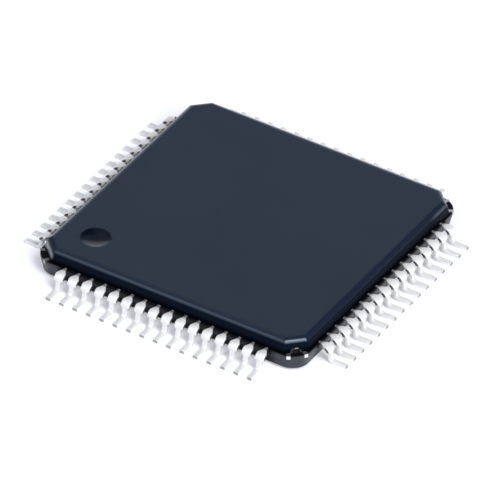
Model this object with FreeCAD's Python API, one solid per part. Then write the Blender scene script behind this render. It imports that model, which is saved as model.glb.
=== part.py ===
import FreeCAD, Part

import math
import os

V = FreeCAD.Vector
UP = V(0, 0, 1)

# A quad flat pack chip: a moulded body on a ring of gull-wing leads.
# Millimetres. The origin is the centre of the footprint on the board, +Z up.
# Pin 1 is by the dimple, in the corner at -X +Y, and the pins count anticlockwise from above.

# Lead pattern
LEADS_PER_SIDE = 16
PITCH = 0.5
ROW_END_MARGIN = 1.25      # last lead's centre line to the neighbouring side of the body
LEAD_REACH = 1.0           # body side to foot tip
LEAD_THICKNESS = 0.127
FOOT_WIDTH = 0.18
BEND_RADIUS = 0.1          # inside of both bends
SHOULDER_RUN = 0.37        # body side to the corner of the upper bend
LEG_RUN = 0.05             # from there to the corner of the lower bend, where the foot starts
NECK_WIDTH = 0.13          # where the lead leaves the body
NECK_LENGTH = 0.03
STUB_WIDTH = 0.33          # what is left of the dam bar at the shoulder
STUB_FLARE = 0.23          # run over which the neck widens to the stub
STUB_DROP = 0.13           # lead frame's mid plane down to where the stub starts to narrow
STUB_TAPER = 0.05          # height over which the stub narrows to the foot's width

# Moulded body
LOWER_DEPTH = 0.5          # lead frame's mid plane down to the underside
UPPER_DEPTH = 0.5          # lead frame's mid plane up to the top face
STANDOFF = 0.08            # board to underside
UPPER_DRAFT = 15.0         # degrees
LOWER_DRAFT = 12.0
PARTING_STEP = 0.05        # upper half's side stands in from the lower half's
TOP_EDGE_ROUND = 0.26
BOTTOM_EDGE_BEVEL = 0.05
UPPER_CHAMFER = 0.6        # leg of the upper half's corner chamfer at the parting line
LOWER_CORNER_RADIUS = 0.7
FLASH_LENGTH = 0.17        # resin between the necks, from the body's side outwards
FLASH_OVERRUN = 0.12       # the same resin runs on past the last neck of a row
GATE_WIDTH = 0.4           # broken gate stub on one corner of the upper half
GATE_HEIGHT = 0.19
GATE_PROUD = 0.04
DIMPLE_DIAMETER = 1.02
DIMPLE_DEPTH = 0.1
DIMPLE_INSET = 1.47        # body side to the dimple's centre
EJECTOR_DIAMETER = 1.5
EJECTOR_DEPTH = 0.03

# Lead frame inside the body
PADDLE_MARGIN = 0.5        # die's edge to the paddle's edge
PADDLE_DOWNSET = 0.18
TIP_GAP = 0.25             # paddle to the lead tips
TIP_WIDTH = 0.15
TIP_LENGTH = 0.35          # straight stretch that takes the wire
TIP_CORNER_CLEARANCE = 0.5  # last tip's centre line to the corner diagonal, along the row
FINGER_ROOT = 0.3          # straight stretch of the lead just inside the body
TIE_BAR_WIDTH = 0.2
TIE_ROOT = 0.3             # bar's overlap with the paddle's corner
TIE_LEVEL_RUN = 0.15       # paddle's corner to the start of the ramp
TIE_RAMP_RUN = 0.3
TIE_FORK_WIDTH = 0.13
TIE_FORK_ANGLE = 24.0      # each end from the corner diagonal, about the corner's centre
TIE_FORK_SETBACK = 0.55    # corner's centre back to the fork, along the diagonal
TIE_END_PROUD = 0.02

# Die and wires
DIE_SIZE = 4.0
DIE_THICKNESS = 0.25
ATTACH_THICKNESS = 0.025
ATTACH_MARGIN = 0.05       # glue that shows around the die
PAD_INSET = 0.09           # die's edge to the bond pads
PAD_END_MARGIN = 0.25      # die's edge to the last pad, along the row
WIRE_DIAMETER = 0.025
WIRE_LOOP = 0.12           # die's top to the top of the loop's centre line
WIRE_CREST = 0.35          # level stretch of the loop
WIRE_LAND = 0.1            # lead's tip to the wire's end

# Places that follow from the sizes
ROW_LENGTH = (LEADS_PER_SIDE - 1) * PITCH
BODY_HALF = ROW_LENGTH / 2 + ROW_END_MARGIN
SPAN_HALF = BODY_HALF + LEAD_REACH
FRAME_Z = STANDOFF + LOWER_DEPTH
FRAME_TOP = FRAME_Z + LEAD_THICKNESS / 2
FRAME_BOTTOM = FRAME_Z - LEAD_THICKNESS / 2
TOP_Z = FRAME_Z + UPPER_DEPTH
CORNER_CENTRE = BODY_HALF - LOWER_CORNER_RADIUS
PADDLE_HALF = DIE_SIZE / 2 + PADDLE_MARGIN
PADDLE_TOP = FRAME_TOP - PADDLE_DOWNSET
DIE_BOTTOM = PADDLE_TOP + ATTACH_THICKNESS
DIE_TOP = DIE_BOTTOM + DIE_THICKNESS
TIP_LINE = PADDLE_HALF + TIP_GAP
TIP_SPREAD = 2 * (TIP_LINE - TIP_CORNER_CLEARANCE) / ROW_LENGTH
PAD_SPREAD = (DIE_SIZE - 2 * PAD_END_MARGIN) / ROW_LENGTH
DIAGONAL = V(-1, 1, 0).normalize()

PIN_GROUPS = ["1_to_16", "17_to_32", "33_to_48", "49_to_64"]


def at(out, along, z):
    """Point on the -X side: out from the Z axis, along the row towards +Y."""
    return V(-out, along, z)


def turned(shape, degrees):
    copy = shape.copy()
    copy.rotate(V(0, 0, 0), UP, degrees)
    return copy


def on_four_sides(shape):
    """Copies of what is modelled on the -X side, in the order that the pins count."""
    return [turned(shape, 90 * side) for side in range(4)]


def fused(pieces):
    """The one solid that touching pieces make, with flush faces merged."""
    whole, = pieces[0].fuse(pieces[1:]).removeSplitter().Solids
    return whole


def polygon_face(points):
    return Part.Face(Part.makePolygon(points + points[:1]))


def prism(points, direction):
    return polygon_face(points).extrude(direction)


def square(half, z):
    return [V(half, half, z), V(-half, half, z), V(-half, -half, z), V(half, -half, z)]


def slab(half, z_low, z_high):
    """Square plate centred on the Z axis."""
    return prism(square(half, z_low), UP * (z_high - z_low))


def corner_arc(before, corner, after, radius):
    """Start, centre and end of the arc that turns an outline's corner."""
    back = (before - corner).normalize()
    ahead = (after - corner).normalize()
    half_angle = back.getAngle(ahead) / 2
    reach = radius / math.tan(half_angle)
    centre = corner + (back + ahead).normalize() * (radius / math.sin(half_angle))
    return corner + back * reach, centre, corner + ahead * reach


def strip_edge(path, across, offset, bend_radius):
    """Points of one edge of a bent strip, offset from its centre line.

    A bend with a radius becomes the chord of its arc, and a bend with none a mitre.
    """
    runs = [(end - start).normalize() for start, end in zip(path, path[1:])]
    normals = [across.cross(run) for run in runs]
    corners = [path[0] + normals[0] * offset]
    for point, before, after in zip(path[1:], normals, normals[1:]):
        mean = (before + after).normalize()
        corners.append(point + mean * (offset / math.cos(mean.getAngle(before))))
    corners.append(path[-1] + normals[-1] * offset)
    if bend_radius == 0:
        return corners
    points = [corners[0]]
    for index in range(1, len(corners) - 1):
        is_outside = normals[index - 1].dot(runs[index]) * offset < 0
        radius = bend_radius + (2 * abs(offset) if is_outside else 0)
        start, centre, end = corner_arc(*corners[index - 1:index + 2], radius)
        points += [start, end]
    return points + [corners[-1]]


def strip(path, across, thickness, width, bend_radius=0):
    """Bent strip about a centre line, swept across it by its width."""
    upper = strip_edge(path, across, thickness / 2, bend_radius)
    lower = strip_edge(path, across, -thickness / 2, bend_radius)
    return prism(upper + lower[::-1], across * width)


def both_sides(half_outline, place):
    """Closed outline from (run, half width) pairs, mirrored about the centre line."""
    one_side = [place(run, half_width) for run, half_width in half_outline]
    other_side = [place(run, -half_width) for run, half_width in half_outline]
    return one_side + other_side[::-1]


def neck_from_above():
    """Column over a lead's outline from above: narrow neck, then the stub's width."""
    neck_end = BODY_HALF + NECK_LENGTH
    half_outline = [
        (BODY_HALF, NECK_WIDTH / 2),
        (neck_end, NECK_WIDTH / 2),
        (neck_end + STUB_FLARE, STUB_WIDTH / 2),
        (SPAN_HALF, STUB_WIDTH / 2),
    ]
    points = both_sides(half_outline, lambda out, along: at(out, along, 0))
    return prism(points, UP * FRAME_TOP)


def leg_from_outside():
    """Bar over a lead's outline from outside: wide shoulder, narrow leg and foot."""
    stub_bottom = FRAME_Z - STUB_DROP
    half_outline = [
        (0, FOOT_WIDTH / 2),
        (stub_bottom - STUB_TAPER, FOOT_WIDTH / 2),
        (stub_bottom, STUB_WIDTH / 2),
        (FRAME_TOP, STUB_WIDTH / 2),
    ]
    points = both_sides(half_outline, lambda z, along: at(BODY_HALF, along, z))
    return prism(points, V(-LEAD_REACH, 0, 0))


def gull_wing():
    """Lead outside the body, centred on Y = 0: neck, dam bar stub, leg and foot."""
    near = -STUB_WIDTH / 2
    foot_z = LEAD_THICKNESS / 2
    path = [
        at(BODY_HALF, near, FRAME_Z),
        at(BODY_HALF + SHOULDER_RUN, near, FRAME_Z),
        at(BODY_HALF + SHOULDER_RUN + LEG_RUN, near, foot_z),
        at(SPAN_HALF, near, foot_z),
    ]
    sheet = strip(path, V(0, 1, 0), LEAD_THICKNESS, STUB_WIDTH, BEND_RADIUS)
    return sheet.common(neck_from_above()).common(leg_from_outside())


def inner_finger(along):
    """Lead inside the body, from the side wall to its tip beside the paddle."""
    tip_along = along * TIP_SPREAD
    centre_line = [
        (BODY_HALF, along, NECK_WIDTH / 2),
        (BODY_HALF - FINGER_ROOT, along, NECK_WIDTH / 2),
        (TIP_LINE + TIP_LENGTH, tip_along, TIP_WIDTH / 2),
        (TIP_LINE, tip_along, TIP_WIDTH / 2),
    ]
    one_side = [at(out, middle + half, FRAME_BOTTOM) for out, middle, half in centre_line]
    other_side = [at(out, middle - half, FRAME_BOTTOM) for out, middle, half in centre_line]
    return prism(one_side + other_side[::-1], UP * LEAD_THICKNESS)


def places_along_row():
    """Place of each lead along the row on the -X side, in pin order."""
    return [ROW_LENGTH / 2 - index * PITCH for index in range(LEADS_PER_SIDE)]


def lead_row():
    """The leads on the -X side, one solid each."""
    outside = gull_wing()
    leads = []
    for along in places_along_row():
        leads.append(fused([inner_finger(along), outside.translated(V(0, along, 0))]))
    return leads


def tie_bar():
    """Bar from the paddle's corner at -X +Y, up a ramp to two ends at the body's corner."""
    sideways = UP.cross(DIAGONAL)
    corner = PADDLE_HALF * math.sqrt(2)
    centre = CORNER_CENTRE * math.sqrt(2)
    fork = centre - TIE_FORK_SETBACK
    low_z = FRAME_Z - PADDLE_DOWNSET
    near = sideways * (-TIE_BAR_WIDTH / 2)
    path = [
        near + DIAGONAL * (corner - TIE_ROOT) + UP * low_z,
        near + DIAGONAL * (corner + TIE_LEVEL_RUN) + UP * low_z,
        near + DIAGONAL * (corner + TIE_LEVEL_RUN + TIE_RAMP_RUN) + UP * FRAME_Z,
        near + DIAGONAL * fork + UP * FRAME_Z,
    ]
    pieces = [strip(path, sideways, LEAD_THICKNESS, TIE_BAR_WIDTH)]
    start = DIAGONAL * fork + UP * FRAME_BOTTOM
    for degrees in (-TIE_FORK_ANGLE, TIE_FORK_ANGLE):
        outward = FreeCAD.Rotation(UP, degrees).multVec(DIAGONAL)
        reach = LOWER_CORNER_RADIUS + TIE_END_PROUD
        end = DIAGONAL * centre + outward * reach + UP * FRAME_BOTTOM
        half = UP.cross(end - start).normalize() * (TIE_FORK_WIDTH / 2)
        points = [start - half, end - half, end + half, start + half]
        pieces.append(prism(points, UP * LEAD_THICKNESS))
    return fused(pieces)


def die_paddle():
    """Square plate with a forked tie bar at each corner."""
    plate = slab(PADDLE_HALF, PADDLE_TOP - LEAD_THICKNESS, PADDLE_TOP)
    return fused([plate] + on_four_sides(tie_bar()))


def bond_wire(along):
    """Wire from a pad on the die over its edge to the lead's tip, with a square section."""
    pad = at(DIE_SIZE / 2 - PAD_INSET, along * PAD_SPREAD, 0)
    land = at(TIP_LINE + WIRE_LAND, along * TIP_SPREAD, 0)
    heading = (land - pad).normalize()
    sideways = UP.cross(heading)
    crest_z = DIE_TOP + WIRE_LOOP
    start = pad - sideways * (WIRE_DIAMETER / 2)
    path = [
        start + UP * DIE_TOP,
        start + UP * crest_z,
        start + heading * WIRE_CREST + UP * crest_z,
        start + (land - pad) + UP * (FRAME_TOP - WIRE_DIAMETER / 2),
    ]
    # The last run aims a little under the lead's top, which then cuts the wire level.
    sunk = strip(path, sideways, WIRE_DIAMETER, WIRE_DIAMETER)
    wire, = sunk.cut(slab(BODY_HALF, FRAME_BOTTOM, FRAME_TOP)).Solids
    return wire


def chamfered_square(half, leg, z):
    """Corners of a square whose own corners are cut off at 45 degrees."""
    points = []
    for quarter in range(4):
        turn = FreeCAD.Rotation(UP, 90 * quarter)
        points.append(turn.multVec(V(half, half - leg, z)))
        points.append(turn.multVec(V(half - leg, half, z)))
    return points


def frustum(lower, upper):
    """Solid with flat sides between two outlines that have as many corners."""
    faces = [polygon_face(lower), polygon_face(upper)]
    for index in range(len(lower)):
        previous = index - 1
        faces.append(polygon_face([lower[previous], lower[index], upper[index], upper[previous]]))
    # Without removeSplitter the solid's faces keep mixed directions, and it takes no fillet.
    return Part.makeSolid(Part.makeShell(faces)).removeSplitter()


def upper_half():
    """Top of the body: drafted sides, chamfered corners and a rounded top edge."""
    inset = (TOP_Z - FRAME_TOP) * math.tan(math.radians(UPPER_DRAFT))
    half = BODY_HALF - PARTING_STEP
    top_leg = UPPER_CHAMFER - inset * (2 - math.sqrt(2))
    lower = chamfered_square(half, UPPER_CHAMFER, FRAME_TOP)
    upper = chamfered_square(half - inset, top_leg, TOP_Z)
    block = frustum(lower, upper)
    top_edges = [edge for edge in block.Edges if edge.BoundBox.ZMin > FRAME_Z + UPPER_DEPTH / 2]
    return block.makeFillet(TOP_EDGE_ROUND, top_edges)


def lower_outline(inset, z):
    """Rounded square at a height of the lower half, set in from its widest outline."""
    points = square(BODY_HALF - inset, z)
    radius = LOWER_CORNER_RADIUS - inset
    edges = []
    ends = []
    for index, corner in enumerate(points):
        after = points[(index + 1) % len(points)]
        start, centre, end = corner_arc(points[index - 1], corner, after, radius)
        middle = centre + (corner - centre).normalize() * radius
        edges.append(Part.Arc(start, middle, end).toShape())
        ends.append((start, end))
    for index in range(len(points)):
        edges.insert(2 * index, Part.LineSegment(ends[index - 1][1], ends[index][0]).toShape())
    return Part.Wire(edges)


def lower_half():
    """Bottom of the body up to the parting line: rounded corners and drafted sides."""
    bevel_top = STANDOFF + BOTTOM_EDGE_BEVEL
    inset = (FRAME_BOTTOM - bevel_top) * math.tan(math.radians(LOWER_DRAFT))
    outlines = [
        lower_outline(inset + BOTTOM_EDGE_BEVEL, STANDOFF),
        lower_outline(inset, bevel_top),
        lower_outline(0, FRAME_BOTTOM),
        lower_outline(0, FRAME_TOP),
    ]
    return Part.makeLoft(outlines, True, True)


def flash_strip():
    """Resin between the necks of the leads on the -X side, as thick as they are."""
    half = ROW_LENGTH / 2 + NECK_WIDTH / 2 + FLASH_OVERRUN
    outer = BODY_HALF + FLASH_LENGTH
    inner = CORNER_CENTRE
    corners = [(inner, half), (outer, half), (outer, -half), (inner, -half)]
    return prism([at(out, along, FRAME_BOTTOM) for out, along in corners], UP * LEAD_THICKNESS)


def gate_stub():
    """Broken gate on the upper half's chamfer at the corner after the last pin of the -X side."""
    sideways = UP.cross(DIAGONAL)
    draft = math.radians(UPPER_DRAFT)
    up_face = UP * math.cos(draft) - DIAGONAL * math.sin(draft)
    chamfer = (BODY_HALF - PARTING_STEP) * math.sqrt(2) - UPPER_CHAMFER / math.sqrt(2)
    root = DIAGONAL * (chamfer - GATE_PROUD) + UP * FRAME_TOP
    points = []
    for degrees in range(0, 181, 30):
        angle = math.radians(degrees)
        across = sideways * (GATE_WIDTH / 2 * math.cos(angle))
        points.append(root + across + up_face * (GATE_HEIGHT * math.sin(angle)))
    return turned(prism(points, DIAGONAL * (2 * GATE_PROUD)), 90)


def dimple():
    """Ball that leaves the shallow round recess by pin 1."""
    ball_radius = ((DIMPLE_DIAMETER / 2) ** 2 + DIMPLE_DEPTH ** 2) / (2 * DIMPLE_DEPTH)
    place = BODY_HALF - DIMPLE_INSET
    return Part.makeSphere(ball_radius, V(-place, place, TOP_Z - DIMPLE_DEPTH + ball_radius))


def ejector_mark():
    """Disc that leaves the ejector pin's shallow mark in the middle of the underside."""
    return Part.makeCylinder(EJECTOR_DIAMETER / 2, EJECTOR_DEPTH, UP * STANDOFF)


def package_body(held):
    """Moulded body around everything that it holds."""
    block = fused([upper_half(), lower_half(), gate_stub()] + on_four_sides(flash_strip()))
    body, = block.cut([dimple(), ejector_mark()] + held).Solids
    return body


def main():
    leads = lead_row()
    wires = [bond_wire(along) for along in places_along_row()]
    nodes = {
        "die_paddle": [die_paddle()],
        "die_attach": [slab(DIE_SIZE / 2 + ATTACH_MARGIN, PADDLE_TOP, DIE_BOTTOM)],
        "silicon_die": [slab(DIE_SIZE / 2, DIE_BOTTOM, DIE_TOP)],
    }
    for side, pins in enumerate(PIN_GROUPS):
        nodes["leads_pins_" + pins] = [turned(lead, 90 * side) for lead in leads]
        nodes["bond_wires_pins_" + pins] = [turned(wire, 90 * side) for wire in wires]
    held = [solid for solids in nodes.values() for solid in solids]
    nodes["package_body"] = [package_body(held)]

    os.makedirs("parts", exist_ok=True)
    for name, solids in nodes.items():
        shape = solids[0] if len(solids) == 1 else Part.makeCompound(solids)
        shape.exportStep("parts/" + name + ".step")


main()
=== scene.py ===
import math
import random

import bmesh
import bpy
from mathutils import Matrix, Vector


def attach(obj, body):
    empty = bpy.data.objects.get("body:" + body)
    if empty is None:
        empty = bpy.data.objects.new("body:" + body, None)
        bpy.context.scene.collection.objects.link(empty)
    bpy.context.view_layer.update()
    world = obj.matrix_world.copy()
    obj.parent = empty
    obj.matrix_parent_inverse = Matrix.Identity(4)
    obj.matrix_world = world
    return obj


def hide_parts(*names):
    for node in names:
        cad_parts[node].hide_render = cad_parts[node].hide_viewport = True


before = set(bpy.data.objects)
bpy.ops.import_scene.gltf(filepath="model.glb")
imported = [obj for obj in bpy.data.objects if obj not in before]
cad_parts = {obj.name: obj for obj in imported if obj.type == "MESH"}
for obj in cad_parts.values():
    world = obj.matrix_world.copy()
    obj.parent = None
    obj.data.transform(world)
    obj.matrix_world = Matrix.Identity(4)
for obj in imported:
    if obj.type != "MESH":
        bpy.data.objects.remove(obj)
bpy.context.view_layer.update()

# Sizes are millimetres, which MM turns into metres. Only the floor and the lamp are given in metres.
MM = 0.001
# Allowed error when two computed places are compared.
TOLERANCE = 0.001
# Sets back faces that would otherwise lie in one plane.
HAIRLINE = 0.004

PIN_GROUPS = ["1_to_16", "17_to_32", "33_to_48", "49_to_64"]
LEADS_PER_SIDE = 16
PITCH = 0.5
ROW_END = (LEADS_PER_SIDE - 1) * PITCH / 2
BODY_HALF = 5.0
SPAN_HALF = 6.0
LEAD_THICKNESS = 0.127
FRAME_Z = 0.58
FRAME_TOP = FRAME_Z + LEAD_THICKNESS / 2
FRAME_BOTTOM = FRAME_Z - LEAD_THICKNESS / 2
TOP_Z = 1.08
STANDOFF = 0.08

NECK_WIDTH = 0.13
NECK_END = BODY_HALF + 0.03
STUB_WIDTH = 0.33
STUB_START = NECK_END + 0.23
STUB_BOTTOM = FRAME_Z - 0.13
FLARE_CURVE = 1.15
FLARE_STEPS = 4
CUT_OVERRUN = 0.02
TAPER_BOTTOM = STUB_BOTTOM - 0.05
TAPER_EASE = 0.012
FOOT_WIDTH = 0.18
SHOULDER = (BODY_HALF + 0.37, FRAME_Z)
HEEL = (SPAN_HALF - 0.58, LEAD_THICKNESS / 2)
BEND_RADIUS = 0.1 + LEAD_THICKNESS / 2
BEND_STEPS = 9
FOOT_TIP_BEVEL = 0.012
FOOT_TIP_EASE = 0.016
# The most that a lead is out of place sideways and that its foot is short.
PLACE_PLAY = 0.004
LENGTH_PLAY = 0.012
TIP_LINE = 2.75
TIP_STRAIGHT = 3.1
TIP_WIDTH = 0.15
TIP_SPREAD = 0.6
ROOT_START = 4.7
LEAD_TOP_EDGE = 0.03
LEAD_LOW_EDGE = 0.01
FLASH_END = BODY_HALF + 0.17
FLASH_ROOT = BODY_HALF - 0.05
FLASH_OVERRUN = 0.12
FLASH_STEPS = 8
# How much shorter and thinner the flash is in the middle between two necks.
FLASH_END_SAG = 0.045
FLASH_TOP_SAG = 0.02
FLASH_LOW_SAG = 0.014
FLASH_LOW_EDGE = 0.01
FLASH_TOP_EDGE = 0.012
LEDGE_Z = FRAME_TOP - HAIRLINE
GATE_HALF_WIDTH = 0.2
GATE_HEIGHT = 0.19
GATE_PROUD = 0.04
# The scar's rings from rim to middle: share of its size, then share of how far it stands proud.
GATE_RINGS = ((1.0, -0.01), (0.98, 0.15), (0.8, 1.0), (0.66, 0.9), (0.42, 0.2), (0.2, 0.05))

UPPER_HALF = 4.95
UPPER_CHAMFER = 0.6
UPPER_CORNER_ROUND = 0.07
UPPER_DRAFT = math.radians(15)
LOWER_DRAFT = math.radians(12)
LOWER_RADIUS = 0.7
TOP_ROUND = 0.26
TOP_ROUND_STEPS = 12
BOTTOM_ROUND = 0.05
BOTTOM_ROUND_STEPS = 6
PARTING_FLAT = 0.01
LIP = 0.02
LIP_BREAK = 0.3 * LIP
DIMPLE = (-3.53, 3.53)
DIMPLE_RADIUS = 0.51
DIMPLE_DEPTH = 0.085
DIMPLE_STEPS = 8
EJECTOR_RADIUS = 0.75
EJECTOR_DEPTH = 0.03
EJECTOR_TAPER = 0.01
FLAT_MARGIN = 0.02

random.seed(7)


# Mesh helpers

def on_circle(centre, radius, angle):
    return centre[0] + radius * math.cos(angle), centre[1] + radius * math.sin(angle)


class Shell:
    """Points in millimetres and faces with a material number each, made into one object at the end."""

    def __init__(self, name, materials):
        self.name = name
        self.materials = materials
        self.bm = bmesh.new()

    def point(self, x, y, z):
        return self.bm.verts.new((x * MM, y * MM, z * MM))

    def face(self, points, material=0):
        made = self.bm.faces.new(points)
        made.material_index = material
        return made

    def ring(self, below, above, material=0):
        """Quads between two closed loops of as many points."""
        count = len(below)
        for index in range(count):
            after = (index + 1) % count
            self.face([below[index], below[after], above[after], above[index]], material)

    def finish(self, replaced, smooth_angle=40):
        bmesh.ops.recalc_face_normals(self.bm, faces=self.bm.faces)
        mesh = bpy.data.meshes.new(self.name)
        self.bm.to_mesh(mesh)
        self.bm.free()
        for material in self.materials:
            mesh.materials.append(material)
        mesh.shade_smooth()
        mesh.set_sharp_from_angle(angle=math.radians(smooth_angle))
        made = bpy.data.objects.new(self.name, mesh)
        bpy.context.scene.collection.objects.link(made)
        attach(made, "root")
        if replaced:
            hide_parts(*replaced)
        return made


# Materials

def new_material(name):
    material = bpy.data.materials.new(name)
    material.use_nodes = True
    tree = material.node_tree
    return material, tree, tree.nodes["Principled BSDF"]


def add(tree, kind, **inputs):
    node = tree.nodes.new(kind)
    for name, value in inputs.items():
        node.inputs[name.replace("_", " ")].default_value = value
    return node


def object_place(tree):
    return tree.nodes.new("ShaderNodeTexCoord").outputs["Object"]


def object_noise(tree, scale, detail=3.0, stretch=None):
    """Noise in object space; scale is in features a metre."""
    source = object_place(tree)
    if stretch:
        mapping = tree.nodes.new("ShaderNodeMapping")
        mapping.inputs["Scale"].default_value = stretch
        tree.links.new(source, mapping.inputs["Vector"])
        source = mapping.outputs["Vector"]
    noise = add(tree, "ShaderNodeTexNoise", Scale=scale, Detail=detail)
    tree.links.new(source, noise.inputs["Vector"])
    return noise.outputs["Fac"]


def remap(tree, source, low, high, from_low=0.0, from_high=1.0, smooth=False):
    node = tree.nodes.new("ShaderNodeMapRange")
    if smooth:
        node.interpolation_type = "SMOOTHSTEP"
    node.inputs["From Min"].default_value = from_low
    node.inputs["From Max"].default_value = from_high
    node.inputs["To Min"].default_value = low
    node.inputs["To Max"].default_value = high
    tree.links.new(source, node.inputs["Value"])
    return node.outputs["Result"]


def mixed_colour(tree, factor, first, second):
    node = tree.nodes.new("ShaderNodeMix")
    node.data_type = "RGBA"
    node.clamp_factor = False
    node.inputs[6].default_value = (*first, 1)
    node.inputs[7].default_value = (*second, 1)
    tree.links.new(factor, node.inputs[0])
    return node.outputs[2]


def mixed_colours(tree, factor, first, second):
    node = tree.nodes.new("ShaderNodeMix")
    node.data_type = "RGBA"
    tree.links.new(first, node.inputs[6])
    tree.links.new(second, node.inputs[7])
    tree.links.new(factor, node.inputs[0])
    return node.outputs[2]


def mixed_value(tree, factor, first, second):
    node = tree.nodes.new("ShaderNodeMix")
    tree.links.new(first, node.inputs[2])
    tree.links.new(second, node.inputs[3])
    tree.links.new(factor, node.inputs[0])
    return node.outputs[0]


def bump(tree, height, distance, strength, shader):
    node = add(tree, "ShaderNodeBump", Strength=strength, Distance=distance)
    tree.links.new(height, node.inputs["Height"])
    tree.links.new(node.outputs["Normal"], shader.inputs["Normal"])


def combine(tree, operation, first, *others):
    for other in others:
        node = tree.nodes.new("ShaderNodeMath")
        node.operation = operation
        tree.links.new(first, node.inputs[0])
        tree.links.new(other, node.inputs[1])
        first = node.outputs[0]
    return first


def inverse(tree, factor):
    return remap(tree, factor, 1.0, 0.0)


def split_xyz(tree, source):
    node = tree.nodes.new("ShaderNodeSeparateXYZ")
    tree.links.new(source, node.inputs[0])
    return node.outputs


def upward(tree, low, high):
    """0 on walls and 1 on faces that look up, with a soft change between."""
    geometry = tree.nodes.new("ShaderNodeNewGeometry")
    return remap(tree, split_xyz(tree, geometry.outputs["Normal"])["Z"], 0.0, 1.0, low, high, smooth=True)


def past(tree, axis, low, high):
    """0 before one place on an axis, in millimetres, and 1 after another."""
    return remap(tree, split_xyz(tree, object_place(tree))[axis], 0.0, 1.0, low * MM, high * MM)


def outwards(tree, low, high, operation="MAXIMUM"):
    """0 nearer to the chip's middle than one distance, in millimetres, and 1 past another.

    The distance is the larger of those along X and Y. MINIMUM takes the smaller, which picks the corners.
    """
    size = tree.nodes.new("ShaderNodeVectorMath")
    size.operation = "ABSOLUTE"
    tree.links.new(object_place(tree), size.inputs[0])
    sides = split_xyz(tree, size.outputs["Vector"])
    return remap(tree, combine(tree, operation, sides["X"], sides["Y"]), 0.0, 1.0, low * MM, high * MM)


def grazing(tree, facing, edge_on):
    """A value that changes from face on to edge on."""
    weight = tree.nodes.new("ShaderNodeLayerWeight")
    return remap(tree, weight.outputs["Facing"], facing, edge_on, 0.48, 0.72)


def compound_material():
    """Filled epoxy: slate satin on top, walls in a darker colour as painted shade, darkest at their foot
    above the leads, and painted highlights on the edge near the +X end of the -Y side and at the corner -X
    +Y.
    """
    material, tree, shader = new_material("moulding_compound")
    cloud = object_noise(tree, 420, 4.0)
    grain = object_noise(tree, 26000, 2.0)
    top = mixed_colour(tree, cloud, (0.0075, 0.0125, 0.0265), (0.0097, 0.0158, 0.0315))
    # Painted shade: the walls darken towards their foot, just above the leads, and shine less there.
    above_foot_shade = past(tree, "Z", 0.69, 0.84)
    bare = mixed_colour(tree, grain, (0.0015, 0.0032, 0.0075), (0.0032, 0.006, 0.013))
    painted_foot_shade = mixed_colour(tree, grain, (0.0005, 0.0009, 0.0016), (0.0012, 0.002, 0.0038))
    wall = mixed_colours(tree, above_foot_shade, painted_foot_shade, bare)
    # The walls get a darker colour than the top, as painted shade by facing.
    up = upward(tree, 0.45, 0.85)
    # Painted highlight on the round of the -Y edge near its +X end.
    painted_highlight_mask = combine(tree, "MULTIPLY", past(tree, "X", 3.3, 3.7), past(tree, "Y", -4.4, -4.5),
                     upward(tree, 0.34, 0.5), inverse(tree, upward(tree, 0.6, 0.85)))
    painted_highlight = mixed_colour(tree, grain, (0.035, 0.042, 0.055), (0.065, 0.075, 0.09))
    # Painted highlight on the lower part of the edge round at the corner -X +Y.
    corner_highlight_mask = combine(tree, "MULTIPLY", outwards(tree, 4.25, 4.33, "MINIMUM"), past(tree, "X", -4.0, -4.05),
                   past(tree, "Y", 4.0, 4.05), past(tree, "Z", 0.74, 0.82),
                   inverse(tree, past(tree, "Z", 0.9, 0.97)))
    painted_light = mixed_colour(tree, grain, (0.1, 0.11, 0.135), (0.18, 0.19, 0.23))
    body = mixed_colours(tree, painted_highlight_mask, mixed_colours(tree, up, wall, top), painted_highlight)
    tree.links.new(mixed_colours(tree, corner_highlight_mask, body, painted_light), shader.inputs["Base Color"])
    wall_rough = remap(tree, grain, 0.24, 0.32)
    top_rough = remap(tree, cloud, 0.2, 0.24)
    tree.links.new(mixed_value(tree, up, wall_rough, top_rough), shader.inputs["Roughness"])
    wall_shine = mixed_value(tree, above_foot_shade, grazing(tree, 0.0, 0.5), grazing(tree, 0.03, 0.8))
    tree.links.new(mixed_value(tree, up, wall_shine, grazing(tree, 0.58, 0.62)),
                   shader.inputs["Specular IOR Level"])
    shader.inputs["Specular Tint"].default_value = (0.74, 0.86, 1, 1)
    bump(tree, grain, 0.000003, 0.25, shader)
    return material


def wall_material():
    """The same compound below the parting line, dull from the eroded mould, with painted light at the
    corners and painted shade on the ledge.
    """
    material, tree, shader = new_material("moulding_compound_lower")
    grain = object_noise(tree, 22000, 3.0)
    shaded = mixed_colour(tree, grain, (0.003, 0.0031, 0.0036), (0.007, 0.0072, 0.0086))
    # Painted light: the corners are paler, as if lit from the floor.
    painted_light = mixed_colour(tree, grain, (0.03, 0.033, 0.039), (0.06, 0.065, 0.076))
    side = mixed_colours(tree, outwards(tree, 3.85, 4.15, "MINIMUM"), shaded, painted_light)
    # Painted shade: the ledge, which looks up, is nearly black.
    shaded_ledge = mixed_colour(tree, grain, (0.0004, 0.0005, 0.0008), (0.0015, 0.0018, 0.0026))
    tree.links.new(mixed_colours(tree, upward(tree, 0.1, 0.5), side, shaded_ledge), shader.inputs["Base Color"])
    tree.links.new(remap(tree, grain, 0.5, 0.7), shader.inputs["Roughness"])
    tree.links.new(grazing(tree, 0.12, 0.9), shader.inputs["Specular IOR Level"])
    bump(tree, grain, 0.000005, 0.5, shader)
    return material


def polished_material():
    """Where a pin of the mould pressed the compound smooth."""
    material, tree, shader = new_material("moulding_compound_polished")
    cloud = object_noise(tree, 3000, 3.0)
    tree.links.new(mixed_colour(tree, cloud, (0.0015, 0.003, 0.007), (0.0025, 0.005, 0.011)),
                   shader.inputs["Base Color"])
    tree.links.new(remap(tree, cloud, 0.07, 0.12), shader.inputs["Roughness"])
    shader.inputs["Specular IOR Level"].default_value = 0.3
    shader.inputs["Specular Tint"].default_value = (0.66, 0.73, 1, 1)
    return material


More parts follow.
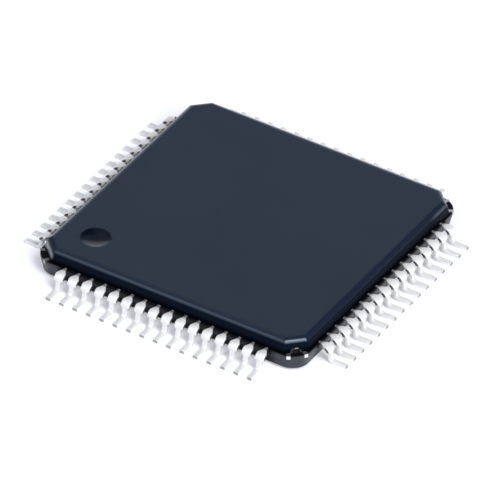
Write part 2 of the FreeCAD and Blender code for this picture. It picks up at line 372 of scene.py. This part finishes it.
def flash_material():
    """Thin resin squeezed between the lead necks, with painted shade beside the body and along the side at
    -X, and painted light on the outer part of the other sides.
    """
    material, tree, shader = new_material("moulding_compound_flash")
    cloud = object_noise(tree, 9000, 4.0)
    # Painted shade next to the body wall.
    inner = mixed_colour(tree, cloud, (0.0005, 0.0006, 0.0008), (0.003, 0.0032, 0.004))
    # Painted shade along the side at -X; the other sides get painted light on their outer part.
    shaded_side = mixed_colour(tree, cloud, (0.003, 0.003, 0.0035), (0.02, 0.021, 0.023))
    painted_light = mixed_colour(tree, cloud, (0.04, 0.042, 0.048), (0.15, 0.155, 0.17))
    outer = mixed_colours(tree, past(tree, "X", -5.0, -4.9), shaded_side, painted_light)
    tree.links.new(mixed_colours(tree, outwards(tree, 5.02, 5.1), inner, outer), shader.inputs["Base Color"])
    tree.links.new(remap(tree, cloud, 0.4, 0.6), shader.inputs["Roughness"])
    shader.inputs["Specular IOR Level"].default_value = 0.2
    bump(tree, cloud, 0.00001, 0.6, shader)
    return material


def broken_material():
    """Broken compound, black and glassy where it snapped off."""
    material, tree, shader = new_material("moulding_compound_broken")
    cloud = object_noise(tree, 14000, 5.0)
    tree.links.new(mixed_colour(tree, cloud, (0.001, 0.001, 0.0012), (0.006, 0.006, 0.0068)),
                   shader.inputs["Base Color"])
    tree.links.new(remap(tree, cloud, 0.12, 0.3), shader.inputs["Roughness"])
    shader.inputs["Specular IOR Level"].default_value = 0.6
    bump(tree, cloud, 0.000004, 0.4, shader)
    return material


def tin_material():
    """Matte tin plating, fine grained, with painted shade on the necks beside the body."""
    material, tree, shader = new_material("tin_plating")
    grain = object_noise(tree, 24000, 4.0)
    cloud = object_noise(tree, 1800, 3.0)
    plating = mixed_colour(tree, cloud, (0.72, 0.72, 0.715), (0.78, 0.78, 0.775))
    # Painted shade on the necks where they leave the body.
    root_shade = mixed_colour(tree, grain, (0.08, 0.08, 0.08), (0.2, 0.2, 0.2))
    root_shade_mask = combine(tree, "MULTIPLY", outwards(tree, 4.9, 4.98), inverse(tree, outwards(tree, 5.02, 5.14)))
    tree.links.new(mixed_colours(tree, root_shade_mask, plating, root_shade), shader.inputs["Base Color"])
    tree.links.new(remap(tree, grain, 0.3, 0.4), shader.inputs["Roughness"])
    shader.inputs["Metallic"].default_value = 0.2
    bump(tree, grain, 0.000003, 0.3, shader)
    return material


def sheared_material():
    """Bare oxidised alloy where a punch cut the lead frame."""
    material, tree, shader = new_material("sheared_alloy")
    streak = object_noise(tree, 9000, 3.0, stretch=(1, 1, 0.15))
    tree.links.new(mixed_colour(tree, streak, (0.06, 0.06, 0.065), (0.2, 0.2, 0.205)),
                   shader.inputs["Base Color"])
    tree.links.new(remap(tree, streak, 0.45, 0.65), shader.inputs["Roughness"])
    shader.inputs["Metallic"].default_value = 1.0
    bump(tree, streak, 0.000006, 0.6, shader)
    return material


def metal_finish(tree, shader, cloud, colour, rough):
    tree.links.new(colour, shader.inputs["Base Color"])
    tree.links.new(remap(tree, cloud, rough, rough + 0.12), shader.inputs["Roughness"])
    shader.inputs["Metallic"].default_value = 1.0
    bump(tree, cloud, 0.000003, 0.3, shader)


def metal_material(name, first, second, rough, scale):
    material, tree, shader = new_material(name)
    cloud = object_noise(tree, scale, 3.0)
    metal_finish(tree, shader, cloud, mixed_colour(tree, cloud, first, second), rough)
    return material


def paddle_material():
    """Bare lead frame alloy, darker on the tie bar ends at the corner -X +Y."""
    material, tree, shader = new_material("lead_frame_alloy")
    cloud = object_noise(tree, 5000, 3.0)
    bare = mixed_colour(tree, cloud, (0.8, 0.79, 0.77), (0.9, 0.89, 0.87))
    darker_end = mixed_colour(tree, cloud, (0.2, 0.2, 0.22), (0.38, 0.38, 0.41))
    darker_end_mask = combine(tree, "MULTIPLY", past(tree, "X", -3.8, -4.2), past(tree, "Y", 3.8, 4.2))
    metal_finish(tree, shader, cloud, mixed_colours(tree, darker_end_mask, bare, darker_end), 0.3)
    return material


def plain_material(name, first, second, rough, scale):
    material, tree, shader = new_material(name)
    cloud = object_noise(tree, scale, 3.0)
    tree.links.new(mixed_colour(tree, cloud, first, second), shader.inputs["Base Color"])
    tree.links.new(remap(tree, cloud, rough, rough + 0.15), shader.inputs["Roughness"])
    bump(tree, cloud, 0.000004, 0.3, shader)
    return material


COMPOUND = compound_material()
WALL = wall_material()
POLISHED = polished_material()
FLASH = flash_material()
BROKEN = broken_material()
TIN = tin_material()
SHEARED = sheared_material()
TIP = metal_material("cut_tip", (0.28, 0.28, 0.26), (0.48, 0.48, 0.45), 0.45, 12000)


# Leads

def lead_stations():
    """Centre line of a lead from tip to foot: out, height, upward normal, width, place factor."""
    drop = math.atan2(SHOULDER[1] - HEEL[1], HEEL[0] - SHOULDER[0])
    tangent = BEND_RADIUS * math.tan(drop / 2)
    run = (math.cos(drop), -math.sin(drop))
    leg = math.dist(SHOULDER, HEEL)
    stations = []

    def station(out, z, angle, width, spread=1.0):
        stations.append((out, z, (math.sin(angle), math.cos(angle)), width, spread))

    station(TIP_LINE, FRAME_Z, 0, TIP_WIDTH, TIP_SPREAD)
    station(TIP_STRAIGHT, FRAME_Z, 0, TIP_WIDTH, TIP_SPREAD)
    station(ROOT_START, FRAME_Z, 0, NECK_WIDTH)
    station(NECK_END, FRAME_Z, 0, NECK_WIDTH)
    bend_start = SHOULDER[0] - tangent
    for step in range(1, FLARE_STEPS + 1):
        out = NECK_END + (bend_start - NECK_END) * step / FLARE_STEPS
        station(out, FRAME_Z, 0, width_at(out, FRAME_Z))
    centre = (bend_start, FRAME_Z - BEND_RADIUS)
    flare_end = math.asin((STUB_START - bend_start) / BEND_RADIUS)
    stub_end = math.acos(1 - (FRAME_Z - STUB_BOTTOM) / BEND_RADIUS)
    angles = [flare_end + (stub_end - flare_end) * step / BEND_STEPS for step in range(BEND_STEPS + 1)]
    past_stub = stub_end + 0.06
    for angle in angles + [past_stub, drop]:
        out = centre[0] + BEND_RADIUS * math.sin(angle)
        z = centre[1] + BEND_RADIUS * math.cos(angle)
        station(out, z, angle, width_at(out, z))
    for z in (TAPER_BOTTOM + TAPER_EASE, TAPER_BOTTOM - TAPER_EASE):
        along = (FRAME_Z - z) / -run[1]
        station(SHOULDER[0] + run[0] * along, z, drop, width_at(SPAN_HALF, z))
    heel_start = (SHOULDER[0] + run[0] * (leg - tangent), SHOULDER[1] + run[1] * (leg - tangent))
    centre = (heel_start[0] + BEND_RADIUS * math.sin(drop), heel_start[1] + BEND_RADIUS * math.cos(drop))
    for step in range(BEND_STEPS + 1):
        angle = drop * (1 - step / BEND_STEPS)
        out = centre[0] - BEND_RADIUS * math.sin(angle)
        z = centre[1] - BEND_RADIUS * math.cos(angle)
        station(out, z, angle, FOOT_WIDTH)
    station(SPAN_HALF - FOOT_TIP_BEVEL, LEAD_THICKNESS / 2, 0, FOOT_WIDTH)
    return stations


def width_at(out, z):
    """A lead's width outside the body: neck, flare, stub, taper, then foot."""
    if out < NECK_END:
        return NECK_WIDTH
    if out < STUB_START:
        part = (out - NECK_END) / (STUB_START - NECK_END)
        return NECK_WIDTH + (STUB_WIDTH - NECK_WIDTH) * part ** FLARE_CURVE
    if z > STUB_BOTTOM:
        return STUB_WIDTH
    if z > TAPER_BOTTOM:
        part = (STUB_BOTTOM - z) / (STUB_BOTTOM - TAPER_BOTTOM)
        return STUB_WIDTH + (FOOT_WIDTH - STUB_WIDTH) * part
    return FOOT_WIDTH


def section(width, thickness):
    """Rectangle with well rounded top edges and nearly sharp lower ones, as (sideways, up) pairs."""
    points = []
    for turn, side in enumerate([(1, 1), (-1, 1), (-1, -1), (1, -1)]):
        quarter = math.pi / 2 * turn
        edge = LEAD_TOP_EDGE if turn < 2 else LEAD_LOW_EDGE
        centre = (side[0] * (width / 2 - edge), side[1] * (thickness / 2 - edge))
        for step in range(3):
            angle = quarter + math.pi / 4 * step
            points.append(on_circle(centre, edge, angle))
    return points


def lead_row(pins, quarter_turns):
    """Sixteen leads, each a swept strip, turned to their side of the body."""
    shell = Shell("lead_row_pins_" + pins, [TIN, SHEARED, TIP])
    tin, sheared, tip_cut = range(3)
    stations = lead_stations()
    turn = Matrix.Rotation(math.pi / 2 * quarter_turns, 4, "Z")
    for index in range(LEADS_PER_SIDE):
        along = ROW_END - index * PITCH + random.uniform(-PLACE_PLAY, PLACE_PLAY)
        loops = []
        for out, z, normal, width, spread in stations:
            loop = []
            for sideways, up in section(width, LEAD_THICKNESS):
                place = Vector((-(out + normal[0] * up), along * spread + sideways, z + normal[1] * up))
                loop.append(shell.point(*(turn @ place)))
            loops.append(loop)
        tip = []
        short = random.uniform(0, LENGTH_PLAY)
        for sideways, up in section(FOOT_WIDTH - FOOT_TIP_EASE, LEAD_THICKNESS - FOOT_TIP_EASE):
            place = Vector((-(SPAN_HALF - short), along + sideways, LEAD_THICKNESS / 2 + up))
            tip.append(shell.point(*(turn @ place)))
        loops.append(tip)
        for number, (first, second) in enumerate(zip(loops, loops[1:])):
            out, z = stations[number][:2]
            cut = out >= STUB_START - TOLERANCE and z > STUB_BOTTOM - CUT_OVERRUN
            for corner in range(len(first)):
                after = (corner + 1) % len(first)
                # Points 5 and 11 of a section begin its two flanks.
                material = sheared if cut and corner in (5, 11) else tin
                shell.face([first[corner], first[after], second[after], second[corner]], material)
        shell.face(loops[0])
        shell.face(loops[-1], tip_cut)
    return shell.finish(["leads_pins_" + pins], 35)


for quarter_turns, pins in enumerate(PIN_GROUPS):
    lead_row(pins, quarter_turns)


# Body

def corner_points(half, reach, radius, steps):
    """One quadrant's corner of the outline, at +X +Y: a chamfer with a small round at each end.

    With no radius it is a plain quarter circle of that reach.
    """
    points = []
    if radius is None:
        centre = (half - reach, half - reach)
        for step in range(2 * steps + 2):
            angle = math.pi / 2 * step / (2 * steps + 1)
            points.append(on_circle(centre, reach, angle))
        return points
    tangent = radius * math.tan(math.pi / 8)
    centre = (half - radius, half - reach - tangent)
    for step in range(steps + 1):
        angle = math.pi / 4 * step / steps
        points.append(on_circle(centre, radius, angle))
    centre = (half - reach - tangent, half - radius)
    for step in range(steps + 1):
        angle = math.pi / 4 * (1 + step / steps)
        points.append(on_circle(centre, radius, angle))
    return points


def outline(shell, z, half, reach, radius, steps=5):
    """Closed loop of points anticlockwise from the +X side."""
    loop = []
    for quarter in range(4):
        turn = Matrix.Rotation(math.pi / 2 * quarter, 2)
        for x, y in corner_points(half, reach, radius, steps):
            place = turn @ Vector((x, y))
            loop.append(shell.point(place.x, place.y, z))
    return loop


def upper_outline(shell, z, inset):
    chamfer = UPPER_CHAMFER - inset * (2 - math.sqrt(2))
    return outline(shell, z, UPPER_HALF - inset, chamfer, UPPER_CORNER_ROUND)


def lower_outline(shell, z, inset):
    return outline(shell, z, BODY_HALF - inset, LOWER_RADIUS - inset, None)


def circle(shell, centre, radius, z, count=64):
    loop = []
    for index in range(count):
        x, y = on_circle(centre, radius, 2 * math.pi * index / count)
        loop.append(shell.point(x, y, z))
    return loop


def flat_between(shell, outer, inner, up):
    """Flat face between an outline and the round hole in it."""
    edges = []
    for loop in (outer, inner):
        for index, point in enumerate(loop):
            pair = (point, loop[(index + 1) % len(loop)])
            edges.append(shell.bm.edges.get(pair) or shell.bm.edges.new(pair))
    bmesh.ops.triangle_fill(shell.bm, use_beauty=True, use_dissolve=False, edges=edges, normal=(0, 0, up))


def package_body():
    shell = Shell("moulded_body", [COMPOUND, WALL, POLISHED])
    compound, wall, polished = range(3)
    lower = []
    low_inset = (FRAME_BOTTOM - STANDOFF) * math.tan(LOWER_DRAFT)
    for step in range(BOTTOM_ROUND_STEPS + 1):
        angle = math.pi / 2 * step / BOTTOM_ROUND_STEPS
        z = STANDOFF + BOTTOM_ROUND * (1 - math.sin(angle))
        inset = low_inset + BOTTOM_ROUND * (1 - math.cos(angle))
        lower.insert(0, lower_outline(shell, z, inset))
    lower.insert(0, lower_outline(shell, STANDOFF, low_inset + BOTTOM_ROUND + FLAT_MARGIN))
    bottom = lower[0]
    lower.append(lower_outline(shell, FRAME_BOTTOM, HAIRLINE))
    lower.append(lower_outline(shell, FRAME_BOTTOM + PARTING_FLAT, 0))
    lower.append(lower_outline(shell, LEDGE_Z - LIP, 0))
    lower.append(lower_outline(shell, LEDGE_Z - LIP_BREAK, LIP_BREAK))
    lower.append(lower_outline(shell, LEDGE_Z, LIP))
    for below, above in zip(lower, lower[1:]):
        shell.ring(below, above, wall)

    upper = [upper_outline(shell, LEDGE_Z, 0)]
    shell.ring(lower[-1], upper[0], wall)
    height = TOP_Z - FRAME_TOP
    slope = math.tan(UPPER_DRAFT)
    # The round's centre line, where it is tangent to the wall and to the top.
    centre_inset = height * slope + TOP_ROUND * math.tan((math.pi / 2 - UPPER_DRAFT) / 2)
    for step in range(TOP_ROUND_STEPS + 1):
        angle = UPPER_DRAFT + (math.pi / 2 - UPPER_DRAFT) * step / TOP_ROUND_STEPS
        inset = centre_inset - TOP_ROUND * math.cos(angle)
        z = TOP_Z - TOP_ROUND * (1 - math.sin(angle))
        upper.append(upper_outline(shell, z, inset))
    upper.append(upper_outline(shell, TOP_Z, centre_inset + FLAT_MARGIN))
    for below, above in zip(upper, upper[1:]):
        shell.ring(below, above, compound)

    ball = (DIMPLE_RADIUS ** 2 + DIMPLE_DEPTH ** 2) / (2 * DIMPLE_DEPTH)
    rim = circle(shell, DIMPLE, DIMPLE_RADIUS, TOP_Z)
    around = circle(shell, DIMPLE, DIMPLE_RADIUS + FLAT_MARGIN, TOP_Z)
    shell.ring(around, rim, compound)
    flat_between(shell, upper[-1], around, 1)
    previous = rim
    for step in range(1, DIMPLE_STEPS):
        radius = DIMPLE_RADIUS * (1 - step / DIMPLE_STEPS)
        z = TOP_Z - DIMPLE_DEPTH + ball - math.sqrt(ball ** 2 - radius ** 2)
        loop = circle(shell, DIMPLE, radius, z)
        shell.ring(previous, loop, polished)
        previous = loop
    shell.face(previous, polished)

    mark = circle(shell, (0, 0), EJECTOR_RADIUS, STANDOFF)
    flat_between(shell, bottom, mark, -1)
    shallow = circle(shell, (0, 0), EJECTOR_RADIUS - EJECTOR_TAPER, STANDOFF + EJECTOR_DEPTH)
    shell.ring(mark, shallow, polished)
    shell.face(shallow, polished)
    return shell.finish(["package_body"], 18)


package_body()


def gate_scar():
    """Broken stub of the mould's gate, on the upper chamfer at the corner -X -Y."""
    shell = Shell("gate_scar", [BROKEN])
    middle = UPPER_HALF - UPPER_CHAMFER / 2
    sideways = Vector((1, -1, 0)).normalized()
    diagonal = Vector((-1, -1, 0)).normalized()
    up_face = Vector((0, 0, math.cos(UPPER_DRAFT))) - diagonal * math.sin(UPPER_DRAFT)
    outward = diagonal * math.cos(UPPER_DRAFT) + Vector((0, 0, math.sin(UPPER_DRAFT)))
    base = Vector((-middle, -middle, LEDGE_Z))
    count = 36
    previous = None
    for size, lift in GATE_RINGS:
        loop = []
        for index in range(count):
            angle = 2 * math.pi * index / count
            ragged = size * random.uniform(0.96, 1.0)
            proud = GATE_PROUD * lift * (random.uniform(0.8, 1.1) if lift > 0 else 1)
            place = (base + sideways * (GATE_HALF_WIDTH * ragged * math.cos(angle))
                     + up_face * (GATE_HEIGHT * ragged * math.sin(angle)) + outward * proud)
            loop.append(shell.point(*place))
        if previous:
            shell.ring(previous, loop)
        previous = loop
    shell.face(previous)
    return shell.finish([], 60)


gate_scar()


def flash_row(side):
    """Resin between the necks of one side, each piece with an uneven outer edge."""
    shell = Shell("resin_flash_side_%d" % (side + 1), [FLASH])
    turn = Matrix.Rotation(math.pi / 2 * side, 4, "Z")
    gaps = []
    for index in range(LEADS_PER_SIDE - 1):
        first = -ROW_END + index * PITCH
        gaps.append((first + NECK_WIDTH / 2, first + PITCH - NECK_WIDTH / 2))
    gaps.append((ROW_END + NECK_WIDTH / 2, ROW_END + NECK_WIDTH / 2 + FLASH_OVERRUN))
    gaps.append((-ROW_END - NECK_WIDTH / 2 - FLASH_OVERRUN, -ROW_END - NECK_WIDTH / 2))
    for low, high in gaps:
        columns = []
        for step in range(FLASH_STEPS + 1):
            part = step / FLASH_STEPS
            along = low + (high - low) * part
            sag = math.sin(math.pi * part)
            outer = FLASH_END - FLASH_END_SAG * sag * random.uniform(0.6, 1.2)
            top = FRAME_TOP - HAIRLINE - FLASH_TOP_SAG * sag
            bottom = FRAME_BOTTOM + HAIRLINE + FLASH_LOW_SAG * sag
            profile = [
                (FLASH_ROOT, bottom), (outer - FLASH_LOW_EDGE, bottom), (outer, bottom + FLASH_LOW_EDGE),
                (outer, top - FLASH_TOP_EDGE), (outer - FLASH_TOP_EDGE, top), (FLASH_ROOT, top),
            ]
            columns.append([shell.point(*(turn @ Vector((-out, along, z)))) for out, z in profile])
        for first, second in zip(columns, columns[1:]):
            shell.ring(first, second)
        shell.face(columns[0])
        shell.face(columns[-1])
    return shell.finish([], 50)


for side in range(4):
    flash_row(side)


# Pieces of the frame that keep their own shape

def dress(nodes, material):
    for node in nodes:
        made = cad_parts[node]
        made.data.materials.clear()
        made.data.materials.append(material)


dress(["bond_wires_pins_" + pins for pins in PIN_GROUPS],
      metal_material("gold_wire", (0.85, 0.6, 0.24), (0.95, 0.72, 0.34), 0.18, 9000))
dress(["die_paddle"], paddle_material())
dress(["silicon_die"], plain_material("silicon", (0.05, 0.055, 0.08), (0.08, 0.085, 0.11), 0.1, 2500))
dress(["die_attach"], plain_material("die_attach_glue", (0.45, 0.45, 0.43), (0.6, 0.6, 0.57), 0.5, 12000))


# Floor, light and camera

# Radiance by height of the direction.
WORLD_STEPS = [(-1.0, 1.0), (0.02, 1.0), (0.12, 0.6), (0.3, 0.18), (0.5, 0.1), (0.75, 0.06), (1.0, 0.06)]
# Soft patches of light: direction, cosine of the angle to it where the patch starts and where it is full,
# and radiance.
WORLD_PATCHES = [
    ((0.69, 0.45, 0.56), 0.9, 0.975, 0.3),
    ((-0.64, 0.4, 0.65), 0.88, 0.97, 2.1),
    ((0.15, 0.4, 0.9), 0.9, 0.98, 0.34),
    ((0.69, -0.75, 0.0), 0.94, 0.98, 0.8),
    ((0.86, 0.5, 0.0), 0.86, 0.9, 0.6),
]
FLOOR_HALF = 0.6
LAMP_DISTANCE = 0.4
# The camera was fitted to the photograph: azimuth, elevation and roll in degrees, its place along its own
# axes (right, up, back) in millimetres, and the lens.
CAMERA_ANGLES = (-59.87, 36.87, 2.18)
CAMERA_PLACE = (0.099, -0.126, 406.7)
CAMERA_LENS = 914.4


def make_floor():
    bm = bmesh.new()
    bmesh.ops.create_grid(bm, x_segments=1, y_segments=1, size=FLOOR_HALF)
    mesh = bpy.data.meshes.new("floor")
    bm.to_mesh(mesh)
    bm.free()
    floor = bpy.data.objects.new("floor", mesh)
    bpy.context.scene.collection.objects.link(floor)
    material, tree, shader = new_material("floor_paper")
    shader.inputs["Base Color"].default_value = (0.7, 0.71, 0.77, 1)
    shader.inputs["Roughness"].default_value = 0.95
    shader.inputs["Specular IOR Level"].default_value = 0.0
    shader.inputs["Emission Color"].default_value = (0.97, 0.97, 1.0, 1)
    shader.inputs["Emission Strength"].default_value = 0.34
    mesh.materials.append(material)


def make_world():
    """Studio walls: bright at the horizon, dark overhead, with soft patches of light between."""
    world = bpy.data.worlds.new("studio")
    bpy.context.scene.world = world
    world.use_nodes = True
    tree = world.node_tree
    heading = tree.nodes.new("ShaderNodeTexCoord").outputs["Generated"]
    ramp = tree.nodes.new("ShaderNodeValToRGB")
    tree.links.new(remap(tree, split_xyz(tree, heading)["Z"], 0.0, 1.0, -1.0, 1.0), ramp.inputs["Fac"])
    elements = ramp.color_ramp.elements
    while len(elements) > 1:
        elements.remove(elements[-1])
    for number, (z, bright) in enumerate(WORLD_STEPS):
        element = elements[0] if number == 0 else elements.new((z + 1) / 2)
        element.position = (z + 1) / 2
        element.color = (bright, bright, bright, 1)
    total = ramp.outputs["Color"]
    for direction, start, full, radiance in WORLD_PATCHES:
        dot = tree.nodes.new("ShaderNodeVectorMath")
        dot.operation = "DOT_PRODUCT"
        dot.inputs[1].default_value = Vector(direction).normalized()
        tree.links.new(heading, dot.inputs[0])
        patch = remap(tree, dot.outputs["Value"], 0.0, radiance, start, full, smooth=True)
        total = combine(tree, "ADD", total, patch)
    background = tree.nodes["Background"]
    tint = mixed_colour(tree, total, (0, 0, 0), (0.86, 0.91, 1.0))
    background.inputs["Strength"].default_value = 1.0
    tree.links.new(tint, background.inputs["Color"])


def softbox(name, direction, width, tall, power):
    """Rectangular lamp that looks at the chip; sizes are in metres."""
    lamp = bpy.data.lights.new(name, "AREA")
    lamp.shape = "RECTANGLE"
    lamp.size = width
    lamp.size_y = tall
    lamp.energy = power
    made = bpy.data.objects.new(name, lamp)
    direction = Vector(direction).normalized()
    made.location = direction * LAMP_DISTANCE
    made.rotation_euler = direction.to_track_quat("Z", "Y").to_euler()
    bpy.context.scene.collection.objects.link(made)


def make_camera():
    azimuth, elevation, roll = (math.radians(angle) for angle in CAMERA_ANGLES)
    back = Vector((
        math.sin(azimuth) * math.cos(elevation),
        -math.cos(azimuth) * math.cos(elevation),
        math.sin(elevation),
    ))
    right = Vector((0, 0, 1)).cross(back).normalized()
    up = back.cross(right)
    x_axis = right * math.cos(roll) + up * math.sin(roll)
    y_axis = up * math.cos(roll) - right * math.sin(roll)
    turn = Matrix((x_axis, y_axis, back)).transposed()
    camera = bpy.data.cameras.new("camera")
    camera.sensor_width = 36
    camera.lens = CAMERA_LENS
    camera.clip_end = 10
    made = bpy.data.objects.new("camera", camera)
    place = turn @ Vector([step * MM for step in CAMERA_PLACE])
    made.matrix_world = Matrix.Translation(place) @ turn.to_4x4()
    bpy.context.scene.collection.objects.link(made)
    bpy.context.scene.camera = made


make_floor()
make_world()
softbox("softbox", direction=(-0.32, -0.63, 0.7), width=0.18, tall=0.34, power=2.0)
make_camera()
bpy.context.scene.view_settings.view_transform = "Standard"
